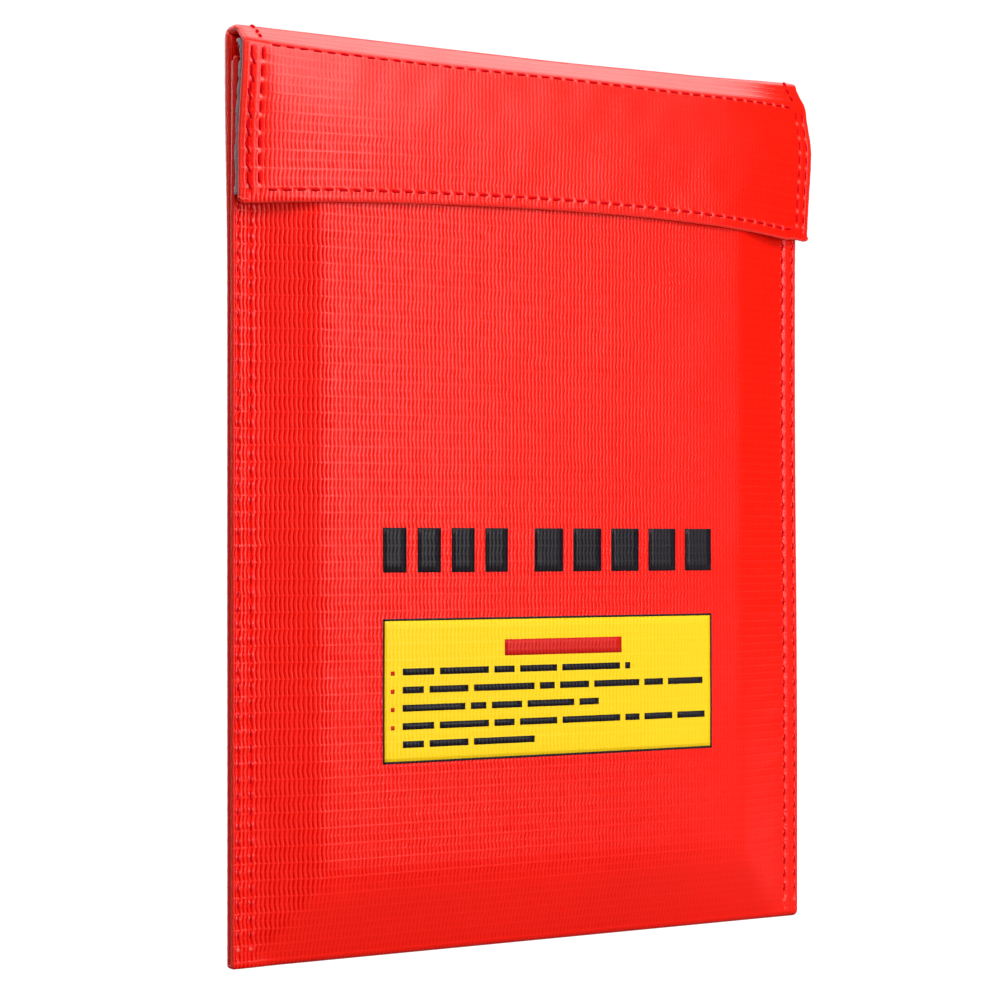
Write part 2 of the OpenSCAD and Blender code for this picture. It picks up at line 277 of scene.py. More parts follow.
def seam_x(x, z):
    """The bag's right edge leans in a little towards the top."""
    return x - 1.1 * smooth((x - 50) / 63) * smooth((z - 50) / 150)


# ---- a cloth and its side hems

class Cloth:
    """A grid of points: row by row along the cloth (v), column by column across it (u).
    The fourth grid says where a pink highlight is painted on its surface, from 0 to 1."""

    def __init__(self, points, u, v, painted_highlight=None):
        self.points, self.u, self.v = np.asarray(points, float), np.asarray(u), np.asarray(v)
        self.painted_highlight = np.zeros(self.points.shape[:2]) if painted_highlight is None else painted_highlight

    def at(self, u, v):
        """The points at places u, v on the cloth."""
        u, v = np.broadcast_arrays(np.asarray(u, float), np.asarray(v, float))
        i = np.clip(np.searchsorted(self.u, u) - 1, 0, len(self.u) - 2)
        j = np.clip(np.searchsorted(self.v, v) - 1, 0, len(self.v) - 2)
        a = ((u - self.u[i]) / (self.u[i + 1] - self.u[i]))[..., None]
        b = ((v - self.v[j]) / (self.v[j + 1] - self.v[j]))[..., None]
        p = self.points
        return along(along(p[j, i], p[j, i + 1], a), along(p[j + 1, i], p[j + 1, i + 1], a), b)

    def frame_at(self, u, v, step=0.5):
        """The points and the outward normals at places u, v."""
        across = self.at(u + step, v) - self.at(u - step, v)
        down = self.at(u, v + step) - self.at(u, v - step)
        across /= np.linalg.norm(across, axis=-1, keepdims=True)
        normal = np.cross(down, across)
        normal /= np.linalg.norm(normal, axis=-1, keepdims=True)
        return self.at(u, v), normal

    def below(self, depth):
        """The same grid, moved inwards by a depth."""
        normal = np.cross(np.gradient(self.points, axis=0), np.gradient(self.points, axis=1))
        normal /= np.maximum(np.linalg.norm(normal, axis=-1, keepdims=True), 1e-9)
        return Cloth(self.points - normal * depth, self.u, self.v)


TUCK = 7.0  # a side hem's depth
EDGE_HIGHLIGHT = (0.05, 0.22, 0.34, 0.34, 0.16, 0.05, 0, 0, 0, 0)  # a highlight painted round a hem's roll and tuck


def hem_sides(points, u, nose, thick):
    """Rolls both side edges of a cloth inwards and tucks them under.
    nose and thick are per row; the roll is half an ellipse, and the tuck lies at its end."""
    edge = (points[:, 0] + points[:, -1]) / 2
    way = np.gradient(edge, axis=0)[:, 1:]
    way /= np.linalg.norm(way, axis=1, keepdims=True)
    inward = np.stack([np.zeros(len(points)), -way[:, 1], way[:, 0]], axis=1)
    outward = np.array([1.0, 0, 0])
    left, right, extra = [], [], []

    def add(out, sink, length):
        left.append(points[:, 0] - out + sink)
        right.append(points[:, -1] + out + sink)
        extra.append(length)

    for t in np.linspace(0, math.pi, 8)[1:]:
        sink = inward * (thick * (1 - math.cos(t)) / 2)[:, None]
        rolled = t * (nose.max() + thick.max() / 2) / 2
        add((nose * math.sin(t))[:, None] * outward, sink, rolled)
    for run in (0.25, 0.6, 1.0):
        add(-TUCK * run * outward, inward * thick[:, None], rolled + TUCK * run)
    grid = np.concatenate(
        [np.stack(left[::-1], axis=1), points, np.stack(right, axis=1)], axis=1
    )
    extra = np.array(extra)
    return grid, np.concatenate([u[0] - extra[::-1], u, u[-1] + extra])


class Rows:
    """The rows of a cloth as they are laid out, before its side edges are hemmed."""

    def __init__(self, count):
        self.plain = np.zeros(count)
        self.points, self.thick, self.nose, self.painted_highlight = [], [], [], []

    def add(self, x, y, z, thick, nose, highlight_paint=0.0):
        """thick and nose are those of the side hems at this row."""
        self.points.append([x, y + self.plain, z + self.plain])
        self.thick.append(thick)
        self.nose.append(nose)
        self.painted_highlight.append(highlight_paint + self.plain)

    def hemmed(self, u):
        """The finished cloth. Its v is the distance along its middle column."""
        points = np.array(self.points).transpose(0, 2, 1)
        steps = np.linalg.norm(np.diff(points[:, len(u) // 2], axis=0), axis=1)
        v = np.concatenate([[0], np.cumsum(steps)])
        grid, u = hem_sides(points, u, np.array(self.nose), np.array(self.thick))
        # a pink highlight is painted along each hem's roll
        highlight_paint = np.array(EDGE_HIGHLIGHT) * np.ones((len(v), 1))
        painted_highlight = np.concatenate([highlight_paint[:, ::-1], np.array(self.painted_highlight), highlight_paint], axis=1)
        return Cloth(grid, u, v, painted_highlight)


# ---- the front and the bottom fold

HEM_DEPTH = 9.0  # the mouth's hem, inside the front
HEM_T = 2.15  # a side seam's hem
LIP_R = 0.85
CLOTH_T = 0.6
LINING_T = 0.4

x_cols = pouch_columns()


def front_grid():
    """The front cloth: the mouth's hem, the front and the bottom fold, from the top down."""
    rows = Rows(len(x_cols))

    def add(y, z, thick, highlight_paint=0.0):
        rows.add(seam_x(x_cols, z), y, z, thick, NOSE, highlight_paint)

    for z in np.linspace(LIP_Z - HEM_DEPTH, LIP_Z - LIP_R, 6)[:-1]:
        add(front_y(x_cols, z) + 2 * LIP_R, z, 0.8)
    for t in np.linspace(math.pi, 0, 9):
        depth, z = LIP_R * (1 - math.cos(t)), LIP_Z - LIP_R + LIP_R * math.sin(t)
        add(front_y(x_cols, LIP_Z - LIP_R) + depth, z, 1.7 - 0.9 * t / math.pi)
    for z in gap_lines(SEAM_GAP_Z, SEAM_FACE + 0.4, LIP_Z - LIP_R - 0.3)[::-1]:
        # a pink highlight is painted on the knots between stitches
        add(front_y(x_cols, z), z, HEM_T + front_spread(z), at_seams(knot, x_cols, z))
    square = 1 - 0.5 * smooth((-x_cols - 96) / 14)  # the left end of the fold is squarer
    for t in np.linspace(0, math.pi, 17):
        y = -SEAM_FACE * np.sign(math.cos(t)) * np.abs(math.cos(t)) ** square
        add(y, SEAM_FACE * (1 - abs(math.sin(t)) ** square), HEM_T)
    return rows.hemmed(x_cols)


front = front_grid()
front_mid_z = front.points[:, len(front.u) // 2, 2]
outside = slice(int(np.argmax(front_mid_z)), None)


def front_at_z(z):
    """The front cloth's v at a height."""
    return np.interp(-np.asarray(z, float), -front_mid_z[outside], front.v[outside])


# ---- the back, the arch and the flap

ARCH_FROM = 287.0
ARCH_HEM_T = 4.4  # the side hems bunch at the arch
FLAP_EDGE_R = 0.85
FLAP_T = 2.3
FLAP_NOSE = 2.2
FLAP_SHEET_HALF = FLAP_HALF - FLAP_NOSE
EDGE_ROW = 4.4  # from the flap's edge up to its bottom row of stitches
EDGE_ARC = FLAP_EDGE_R * math.pi * 5 / 8  # from the face's foot round to that edge
FLAP_ROW_DROP = EDGE_ROW - EDGE_ARC  # the row, up from the face's foot
FLAP_GAP_DROP = FLAP_GAP_Z - FLAP_Z - EDGE_ARC + 0.4
SPLIT = 0.5  # the middle of the lap, as a share of the way across the band
LAP = (0.38, 0.62)  # the back's mesh and the flap's lap between these places
HALF_WIDTHS = {  # left and right, without the rolled edge
    "body": (SHEET_HALF, SHEET_HALF),
    "rear": (113.2, 112.6),
    "top": (112.5, 111.8),
    "middle": (112.6, 112.6),
    "crease": (112.7, 114.2),
    "flap": (FLAP_SHEET_HALF - 1.3, FLAP_SHEET_HALF + 0.8),
}


def top_height(q):
    """The arch's top, which climbs a little to the right."""
    return 298.2 + 0.8 * smooth(q / 0.6) + 1.2 * smooth((q - 0.55) / 0.45)


def flap_y(q, f):
    """The closed flap's face: pulled back at its ends, f from the crease (0) to the edge (1)."""
    middle = -12.3 - 0.35 * np.sin(np.clip(f * 1.6, 0, 1) * math.pi) + 0.35 * f ** 3
    left = 2.2 + 2.7 * smooth(f / 0.7) - 0.4 * f
    right = 6.6 - 1.7 * smooth(f / 0.35) + 1.8 * smooth((f - 0.4) / 0.6)
    reach = np.clip((np.abs(q) * FLAP_HALF - 64) / 52, 0, 1) ** 2.1
    ripple = 0.16 * waves(q * 116, f * 47, 71, 46) + 0.05 * waves(q * 116, f * 47, 72, 15)
    return middle + reach * ends(q, left, right) + ripple


def crease_z(q):
    """The front crease's height."""
    return 290.85 + 1.6 * np.clip(-q, 0, 1) ** 8 + 0.12 * np.sin(q * 7 + 1)


def edge_z(q):
    """The flap's edge: highest a little right of the middle, lower towards both ends."""
    x = q * FLAP_HALF
    fall = np.where(x < 25, 5.0 * ((x - 25) / 141) ** 2, 4.1 * ((x - 25) / 91) ** 2)
    return 246.35 - fall + 0.9 * smooth((x - 107) / 3)


def corner(a, b, c, cut_in, cut_out, t):
    """A rounded corner at b: a quadratic curve from cut_in before it to cut_out after it."""
    p = b + (a - b) * (cut_in / np.linalg.norm(a - b, axis=0))
    r = b + (c - b) * (cut_out / np.linalg.norm(c - b, axis=0))
    return p * (1 - t) ** 2 + 2 * b * t * (1 - t) + r * t ** 2


class OuterRows(Rows):
    """The outer cloth from the bottom of the back, over the top and down the flap to its edge,
    for columns at q from -1 to 1."""

    def __init__(self, q):
        super().__init__(len(q))
        self.q = q
        self.width = {name: ends(q, *half) for name, half in HALF_WIDTHS.items()}
        rear_y = SEAM_FACE + 0.3 + 1.9 * smooth((np.abs(q) - 0.8) / 0.2)
        self.rear_top = np.array([rear_y, top_height(q) - 0.2])
        self.fore_top = np.array([np.full_like(q, -3.0), top_height(q) + 0.1])
        self.crease = np.array([flap_y(q, 0), crease_z(q)])
        self.foot_z = edge_z(q) + FLAP_EDGE_R
        self.up_the_back()
        self.over_the_arch()
        self.along_the_band()
        self.round_the_crease()
        self.down_the_flap()
        self.round_the_edge()

    def put(self, yz, width, thick, nose, highlight_paint=0.0):
        """A row whose columns spread evenly over its width."""
        self.add(self.q * width, yz[0], yz[1], thick, nose, highlight_paint)

    def face(self, f):
        """The flap's face, from the crease (0) to its foot, where the edge turns under (1)."""
        return np.array([flap_y(self.q, f), along(self.crease[1], self.foot_z, f)])

    def arch_front(self, t):
        """The rounded top's front corner, which ends where the band starts."""
        return corner(self.rear_top, self.fore_top, self.crease, 2.2, 2.6, t)

    def up_the_back(self):
        x = self.q * SHEET_HALF
        heights = gap_lines(SEAM_GAP_Z, SEAM_FACE + 0.4, ARCH_FROM - 0.3)
        for z in np.concatenate([[SEAM_FACE + 0.1], heights]):
            leaning = seam_x(x, z) / np.maximum(self.q, 0.5)
            width = np.where(self.q > 0.5, leaning, self.width["body"])
            thick = HEM_T + 2.4 * back_spread(z)
            # a pink highlight is painted on the knots between stitches
            self.put((back_y(x, z), z), width, thick, NOSE, at_seams(knot, x, z))

    def over_the_arch(self):
        body, rear, top = (self.width[n] for n in ("body", "rear", "top"))
        low = np.array([back_y(self.q * SHEET_HALF, ARCH_FROM), ARCH_FROM + self.plain])
        for t in (0, 0.17):
            self.put(along(low, self.rear_top, t), body, ARCH_HEM_T, NOSE)
        start = along(low, self.rear_top, 0.35)
        for t in np.linspace(0, 1, 9):
            yz = corner(start, self.rear_top, self.fore_top, 4.6, 2.6, t)
            self.put(yz, along(body, rear, smooth(t)), ARCH_HEM_T - 1.6 * t, NOSE)
        for t in np.linspace(0, 1, 8):
            self.put(self.arch_front(t), along(rear, top, t), 2.8 - 0.5 * t, NOSE + 0.5 * t)

    def along_the_band(self):
        top, middle, fold = (self.width[n] for n in ("top", "middle", "crease"))
        start = self.arch_front(1.0)
        back_off = (start - self.crease) * (1.5 / np.linalg.norm(start - self.crease, axis=0))
        for t in (0.2, LAP[0], SPLIT, LAP[1], 0.8):
            if t == LAP[0]:
                self.flap_from = len(self.points)
            if t == LAP[1]:
                self.back_to = len(self.points)
            width = along(along(top, middle, 2 * min(t, 0.5)), fold, max(0, 2 * t - 1) * 0.75)
            self.put(along(start, self.crease + back_off, t), width, FLAP_T, NOSE + 0.5 + 0.4 * t)

    def round_the_crease(self):
        middle, fold = self.width["middle"], self.width["crease"]
        self.crease_row = len(self.points) + 5
        for i in range(10):
            t = i / 9
            yz = corner(self.arch_front(1.0), self.crease, self.face(0.1), 1.5, 1.5, t)
            # a pink highlight is painted on the knots of the crease's row
            highlight_paint = knot(0.33 * (i - 6), self.q * fold) * (np.abs(self.q) < 0.95)
            width = along(along(middle, fold, 0.75), fold, t)
            self.put(yz, width, FLAP_T, 2.0 + 0.1 * t, highlight_paint)

    def at_rows(self, shape, drop, width):
        """A stitch row's shape at the flap's rows, on the grid's row drop above the foot."""
        x = self.q * width
        total = shape(np.abs(drop - FLAP_ROW_DROP), x) * (np.abs(self.q) < 0.93)
        if drop > FLAP_ROW_DROP - 1:
            for inset in FLAP_ROWS:
                distance = np.abs(np.abs(x) - (width + FLAP_NOSE - inset))
                total = total + shape(distance, drop - FLAP_GAP_DROP)
        return total

    def down_the_flap(self):
        fold, full = self.width["crease"], self.width["flap"]
        fall = (self.crease[1] - self.foot_z)[len(self.q) // 2]
        beside_row = [FLAP_ROW_DROP + d for d in NEAR_ROW]
        lines = gap_lines(FLAP_GAP_DROP, 0.3, fall - 1.9)
        drops = np.unique(np.concatenate([lines, beside_row, [0.0, 1.2]]).round(2))[::-1]
        drops = drops[np.concatenate([[True], -np.diff(drops) > 0.18])]
        for drop in drops:
            f = 1 - drop / fall
            y, z = self.face(f)
            width = along(fold, full, smooth(f / 0.35))
            dip = self.at_rows(row_dip, drop, width)
            # a pink highlight is painted on the knots of the flap's rows
            self.put((y - dip, z), width, FLAP_T, FLAP_NOSE, self.at_rows(knot, drop, width))

    def round_the_edge(self):
        full = self.width["flap"]
        self.edge_row = len(self.points) + 4
        for t in np.linspace(0, math.pi, 9)[1:]:
            y = flap_y(self.q, 1.0) + FLAP_EDGE_R * (1 - math.cos(t))
            z = self.foot_z - FLAP_EDGE_R * math.sin(t)
            # a pink highlight is painted along the flap's rolled bottom edge
            self.put((y, z), full, FLAP_T - 1.3 * t / math.pi, FLAP_NOSE, 0.5 * math.sin(t) ** 2)
        for f in (0.95, 0.88, 0.81):
            y, z = self.face(f)
            self.put((y + 2 * FLAP_EDGE_R, z), full, 0.9, 1.4)

    def cloth(self):
        return self.hemmed(self.q * FLAP_SHEET_HALF)


def lapped(cloth, rows, end):
    """Some rows of a cloth, with one end row sunk a little below its face."""
    part = cloth.points[rows].copy()
    part[end] = cloth.below(0.025).points[rows][end]
    return Cloth(part, cloth.u, cloth.v[rows], cloth.painted_highlight[rows])


def flap_columns():
    """Places across the flap: close together at each gap of its rows and at its side rows."""
    gaps = gap_lines(0, -105, 105) / FLAP_SHEET_HALF
    marks = [1 - (inset - FLAP_NOSE + d) / FLAP_SHEET_HALF for inset in FLAP_ROWS for d in NEAR_ROW]
    marks = np.array([m for m in marks if m < 0.998] + [0.975, 1.0])
    return np.unique(np.concatenate([gaps, [0], marks, -marks]).round(5))


outer_rows = OuterRows(flap_columns())
outer = outer_rows.cloth()
back = lapped(OuterRows(x_cols / SHEET_HALF).cloth(), slice(0, outer_rows.back_to + 1), -1)
flap = lapped(outer, slice(outer_rows.flap_from, None), 0)
flap_edge_v = outer.v[outer_rows.edge_row]
flap_crease_v = outer.v[outer_rows.crease_row]


# ---- meshes

def mesh_object(name, points, faces, cloth_coords, material, painted_highlight=None):
    """A mesh that carries its places on the cloth, and where a highlight is painted on it, for its
    material.
    """
    mesh = bpy.data.meshes.new(name)
    mesh.from_pydata(place(points).tolist(), [], faces)
    coords = mesh.attributes.new("cloth", "FLOAT_VECTOR", "POINT")
    coords.data.foreach_set("vector", np.asarray(cloth_coords, np.float32).ravel())
    if painted_highlight is not None:
        highlight_paint = mesh.attributes.new("painted_highlight", "FLOAT", "POINT")
        highlight_paint.data.foreach_set("value", np.asarray(painted_highlight, np.float32).ravel())
    mesh.shade_smooth()
    mesh.materials.append(material)
    mesh.validate()
    obj = bpy.data.objects.new(name, mesh)
    bpy.context.scene.collection.objects.link(obj)
    return obj


def thicken(obj, thickness):
    solid = obj.modifiers.new("thickness", "SOLIDIFY")
    solid.thickness = thickness * MM
    solid.offset = -1


def grid_faces(rows, cols):
    r, c = np.meshgrid(np.arange(rows - 1), np.arange(cols - 1), indexing="ij")
    a = (r * cols + c).ravel()
    return np.stack([a, a + cols, a + cols + 1, a + 1], axis=1).tolist()


def slack(points):
    """How plainly the weave stands out, in relief and in the painted shade of its slits: less where
    the cloth is taut, at the right, on the bottom slope, at the creases and on the flap."""
    x, y, z = points[..., 0], points[..., 1], points[..., 2]
    plain = 0.88 - 0.56 * smooth((x - 20) / 75) + 0.27 * smooth((-80 - x) / 8)
    lack_side, lack_end = slopes(x, z)
    on_bottom = smooth(lack_end * 5) * smooth((lack_end - lack_side) * 5 + 0.5)
    plain = plain * (1 - 0.6 * on_bottom)
    on_flap = (y < -11.2 + 7.5 * smooth((np.abs(x) - 60) / 50)) & (z > FLAP_Z)
    flap_plain = (0.30 + 0.48 * smooth((288 - z) / 34)) * (1 - 0.35 * smooth((x + 30) / 90))
    return np.where(z > 289.5, 0.15, np.where(on_flap, flap_plain, plain))


def cloth_object(name, cloth, material, thickness=None, shift_v=0.0):
    """A cloth as an object. shift_v moves the weave, so that it isn't the same on every cloth."""
    rows, cols = cloth.points.shape[:2]
    u, v = np.meshgrid(cloth.u, cloth.v + shift_v)
    coords = np.stack([u, v, slack(cloth.points)], axis=-1)
    points = cloth.points.reshape(-1, 3)
    obj = mesh_object(name, points, grid_faces(rows, cols), coords, material, cloth.painted_highlight)
    if thickness:
        thicken(obj, thickness)
    return obj


THREAD_SIDES = 8
THREAD_RINGS = 9


def thread_faces(count):
    """The faces of count separate threads, each a tube of rings with its ends closed."""
    faces = []
    last_ring = (THREAD_RINGS - 1) * THREAD_SIDES
    for base in range(0, count * THREAD_RINGS * THREAD_SIDES, THREAD_RINGS * THREAD_SIDES):
        for ring in range(base, base + last_ring, THREAD_SIDES):
            for j in range(THREAD_SIDES):
                a, b = ring + j, ring + (j + 1) % THREAD_SIDES
                faces.append((a, b, b + THREAD_SIDES, a + THREAD_SIDES))
        faces.append(tuple(base + j for j in range(THREAD_SIDES))[::-1])
        faces.append(tuple(base + last_ring + j for j in range(THREAD_SIDES)))
    return faces


def threads(name, cloth, stitches, material, radius, lift):
    """Stitches as short twisted threads whose ends dip into the cloth.
    Each stitch is (u0, v0, u1, v1) on the cloth."""
    s = np.array(stitches, float)
    t = np.linspace(0, 1, THREAD_RINGS)
    centre, normal = cloth.frame_at(along(s[:, 0, None], s[:, 2, None], t),
                                    along(s[:, 1, None], s[:, 3, None], t))
    way = np.gradient(centre, axis=1)
    way /= np.linalg.norm(way, axis=-1, keepdims=True)
    side = np.cross(normal, way)
    arch = np.sin(math.pi * t) ** 0.6
    centre = centre + normal * (lift + 0.2 * arch - 0.32 * (1 - arch))[None, :, None]
    slim = radius * (1 - 0.55 * np.abs(2 * t - 1) ** 5)
    angles = np.arange(THREAD_SIDES) * 2 * math.pi / THREAD_SIDES
    spokes = (side[:, :, None] * np.cos(angles)[None, None, :, None] * 1.15
              + normal[:, :, None] * np.sin(angles)[None, None, :, None] * 0.85)
    points = centre[:, :, None] + spokes * slim[None, :, None, None]
    length = np.hypot(s[:, 2] - s[:, 0], s[:, 3] - s[:, 1])
    coords = np.zeros(points.shape)
    coords[..., 0] = (length[:, None] * t)[:, :, None]
    coords[..., 1] = angles / (2 * math.pi)
    coords[..., 2] = np.arange(len(s))[:, None, None]
    return mesh_object(name, points.reshape(-1, 3), thread_faces(len(s)), coords, material)


INK_T = 0.06


def ink(name, shapes, material, lift):
    """Flat printed shapes lying on the front cloth: each is (x0, x1, z0, z1)."""
    points, faces, coords = [], [], []
    for x0, x1, z0, z1 in shapes:
        nx, nz = (max(2, int(size / 2.5) + 2) for size in (x1 - x0, z1 - z0))
        x, z = np.meshgrid(np.linspace(x0, x1, nx), np.linspace(z1, z0, nz))
        v = front_at_z(z)
        p, normal = front.frame_at(x, v)
        base = len(points)
        points += (p + normal * lift).reshape(-1, 3).tolist()
        faces += [[base + i for i in f] for f in grid_faces(nz, nx)]
        coords += np.stack([x, v, slack(p)], axis=-1).reshape(-1, 3).tolist()
    obj = mesh_object(name, np.array(points), faces, coords, material)
    thicken(obj, INK_T)
    return obj


# ---- materials

class Nodes:
    """Short names for building a material's node tree."""

    def __init__(self, name):
        self.material = bpy.data.materials.new(name)
        self.material.use_nodes = True
        self.tree = self.material.node_tree
        self.shader = self.tree.nodes["Principled BSDF"]

    def link(self, a, b):
        self.tree.links.new(a, b)

    def put(self, socket, value):
        """Sets a socket to a number or a colour, or links it to another socket."""
        if hasattr(value, "is_output"):
            self.link(value, socket)
        else:
            socket.default_value = value

    def math(self, op, a, b=None, clamp=False):
        node = self.tree.nodes.new("ShaderNodeMath")
        node.operation, node.use_clamp = op, clamp
        self.put(node.inputs[0], a)
        if b is not None:
            self.put(node.inputs[1], b)
        return node.outputs[0]

    def mix(self, factor, a, b):
        node = self.tree.nodes.new("ShaderNodeMix")
        node.data_type = "RGBA"
        self.put(node.inputs[0], factor)
        self.put(node.inputs[6], a)
        self.put(node.inputs[7], b)
        return node.outputs[2]

    def attribute(self, name):
        node = self.tree.nodes.new("ShaderNodeAttribute")
        node.attribute_name = name
        return node

    def cloth(self):
        """The place on the cloth, as one vector and as u, v and the third value."""
        vector = self.attribute("cloth").outputs["Vector"]
        split = self.tree.nodes.new("ShaderNodeSeparateXYZ")
        self.link(vector, split.inputs[0])
        return vector, split.outputs[0], split.outputs[1], split.outputs[2]

    def noise(self, vector, scale, detail=3.0, rough=0.55):
        node = self.tree.nodes.new("ShaderNodeTexNoise")
        self.link(vector, node.inputs["Vector"])
        node.inputs["Scale"].default_value = scale
        node.inputs["Detail"].default_value = detail
        node.inputs["Roughness"].default_value = rough
        return node.outputs["Fac"]

    def ramp(self, value, low, high, to_low=0.0, to_high=1.0):
        node = self.tree.nodes.new("ShaderNodeMapRange")
        for i, x in enumerate((value, low, high, to_low, to_high)):
            self.put(node.inputs[i], x)
        return node.outputs[0]

    def colour(self, value):
        self.put(self.shader.inputs["Base Color"], value)

    def bump(self, height, strength, distance_mm):
        node = self.tree.nodes.new("ShaderNodeBump")
        node.inputs["Strength"].default_value = strength
        node.inputs["Distance"].default_value = distance_mm * MM
        self.link(height, node.inputs["Height"])
        self.link(node.outputs[0], self.shader.inputs["Normal"])

    def finish(self, rough, specular=0.5, sheen=0.0):
        self.put(self.shader.inputs["Roughness"], rough)
        self.put(self.shader.inputs["Specular IOR Level"], specular)
        self.shader.inputs["Sheen Weight"].default_value = sheen
        return self.material


def rgb(r, g, b):
    return (r, g, b, 1.0)


RIB_PITCH = 1.46
ROW_PITCH = 2.65
LINING_PITCH = 0.9
HIGHLIGHT_PINK = rgb(1.0, 0.16, 0.13)  # the pink painted as a highlight on the coating at knots and edges


def weave(n):
    """The coated weave: slits between ribs, bent from row to row and bridged between rows.
    Gives its vector, how deep the slits are, and the relief's height."""
    vector, u, v, plain = n.cloth()
    drift = n.ramp(n.noise(vector, 0.09, 1.0), 0.3, 0.7, -0.13, 0.13)
    kink = n.math("PINGPONG", n.math("DIVIDE", v, 2 * ROW_PITCH), 0.5)
    phase = n.math("ADD", n.math("DIVIDE", u, RIB_PITCH), n.math("MULTIPLY", kink, 0.44))
    phase = n.math("ADD", phase, drift)
    wave = n.math("COSINE", n.math("MULTIPLY", phase, 2 * math.pi))
    slit = n.math("POWER", n.ramp(wave, -1.0, 1.0), 1.5)
    row = n.math("COSINE", n.math("MULTIPLY", v, 2 * math.pi / ROW_PITCH))
    bridge = n.math("POWER", n.math("MAXIMUM", row, 0.0), 3.0)
    every_other = n.math("COSINE", n.math("MULTIPLY", v, math.pi / ROW_PITCH))
    full = n.ramp(every_other, -1.0, 1.0, 0.35, 0.75)
    faint = n.math("MULTIPLY", n.math("SUBTRACT", 1.0, plain), 0.7)  # faint slits are short
    bridge = n.math("MULTIPLY", bridge, n.math("ADD", full, faint), clamp=True)
    slit = n.math("MULTIPLY", slit, n.math("SUBTRACT", 1.0, bridge))
    uneven = n.ramp(n.noise(vector, 0.3, 4.0), 0.3, 0.7, 0.75, 1.15)
    slit = n.math("MULTIPLY", n.math("MULTIPLY", slit, uneven), plain)
    grain = n.noise(vector, 0.45, 1.0)
    height = n.math("SUBTRACT", n.math("MULTIPLY", grain, 0.08), slit)
    height = n.math("ADD", height, n.math("MULTIPLY", bridge, 0.26))
    return vector, slit, height


def coated_cloth(name, light, dark, rough=0.29, depth=0.15, specular=0.28):
    """A satin coat over the weave: light on the ribs, dull in the slits, with painted shade
    darkening the slits and a pink highlight painted at knots and edges. depth is the relief's, in
    millimetres."""
    n = Nodes(name)
    vector, slit, height = weave(n)
    tone = n.ramp(n.noise(vector, 0.02, 3.0), 0.35, 0.65)
    base = n.mix(tone, light, rgb(*(c * 0.96 for c in light[:3])))
    # painted shade: the slits take the darker colour
    base = n.mix(n.math("MULTIPLY", slit, 0.9, clamp=True), base, dark)
    # painted highlight: a pink mixed into the colour at knots and rolled edges
    painted_highlight = n.attribute("painted_highlight").outputs["Fac"]
    n.colour(n.mix(n.math("MULTIPLY", painted_highlight, 0.8, clamp=True), base, HIGHLIGHT_PINK))
    n.bump(height, 0.6, depth)
    rough = n.ramp(n.noise(vector, 0.05, 1.0), 0.3, 0.7, rough - 0.01, rough + 0.03)
    shine = n.math("MULTIPLY", n.math("SUBTRACT", 1.0, slit, clamp=True), specular)
    return n.finish(rough, shine)


def thread_material():
    """Two plies twisted round each other."""
    n = Nodes("dark_red_thread")
    _, along_thread, around, _ = n.cloth()
    turn = n.math("ADD", n.math("MULTIPLY", along_thread, 1.1), around)
    ply = n.math("COSINE", n.math("MULTIPLY", turn, 2 * math.pi * 2))
    # the plies' darker colour in the grooves between them is painted shade
    n.colour(n.mix(n.ramp(ply, -1.0, 1.0), rgb(0.52, 0.0, 0.003), rgb(0.78, 0.0, 0.008)))
    n.bump(ply, 0.5, 0.1)
    return n.finish(0.6, 0.05)


def lining_material():
    """A fine plain weave of glass fibre, with loose fibres."""
    n = Nodes("grey_glass_lining")
    vector, u, v, _ = n.cloth()
    a, b = (n.math("COSINE", n.math("MULTIPLY", x, 2 * math.pi / LINING_PITCH)) for x in (u, v))
    woven = n.math("MULTIPLY", a, b)
    fray = n.noise(vector, 0.8, 5.0, 0.7)
    tone = n.math("ADD", n.ramp(woven, -1.0, 1.0, 0.1, 0.5), n.ramp(fray, 0.3, 0.7, -0.1, 0.45),
                  clamp=True)
    n.colour(n.mix(tone, rgb(0.20, 0.13, 0.17), rgb(0.52, 0.44, 0.50)))
    n.bump(n.math("ADD", woven, fray), 0.6, 0.15)
    return n.finish(0.85, 0.3, 0.25)


def pile_material(name, dark, light):
    n = Nodes(name)
    fuzz = n.noise(n.cloth()[0], 1.6, 5.0, 0.7)
    n.colour(n.mix(n.ramp(fuzz, 0.3, 0.7), dark, light))
    n.bump(fuzz, 0.7, 0.3)
    return n.finish(0.8, 0.3, 0.4)


# each coat's second colour is the painted shade of its weave's slits
red_cloth = coated_cloth("red_coated_cloth", rgb(0.95, 0.0095, 0.002), rgb(0.64, 0.001, 0.0003))
INKS = {
    name: coated_cloth(name, light, dark, 0.42, 0.09)
    for name, light, dark in (
        ("yellow_ink", rgb(0.93, 0.63, 0.004), rgb(0.86, 0.53, 0.003)),
        ("black_ink", rgb(0.010, 0.008, 0.012), rgb(0.004, 0.003, 0.005)),
        ("red_ink", rgb(0.62, 0.010, 0.006), rgb(0.50, 0.006, 0.004)),
    )
}
thread_red = thread_material()
lining_grey = lining_material()
loop_grey = pile_material("loop_pile", rgb(0.10, 0.09, 0.10), rgb(0.26, 0.24, 0.26))
hook_grey = pile_material("hook_pile", rgb(0.07, 0.065, 0.075), rgb(0.20, 0.19, 0.21))


# ---- the cloths

front_cloth = cloth_object("front_cloth", front, red_cloth, CLOTH_T)
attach(front_cloth, "pouch")
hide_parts("front_panel", "bottom_fold", "front_left_hem", "front_right_hem", "mouth_hem")

back_cloth = cloth_object("back_cloth", back, red_cloth, CLOTH_T, front.v[-1])
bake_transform(back_cloth)
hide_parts("back_panel", "back_left_hem", "back_right_hem", "flap_band")

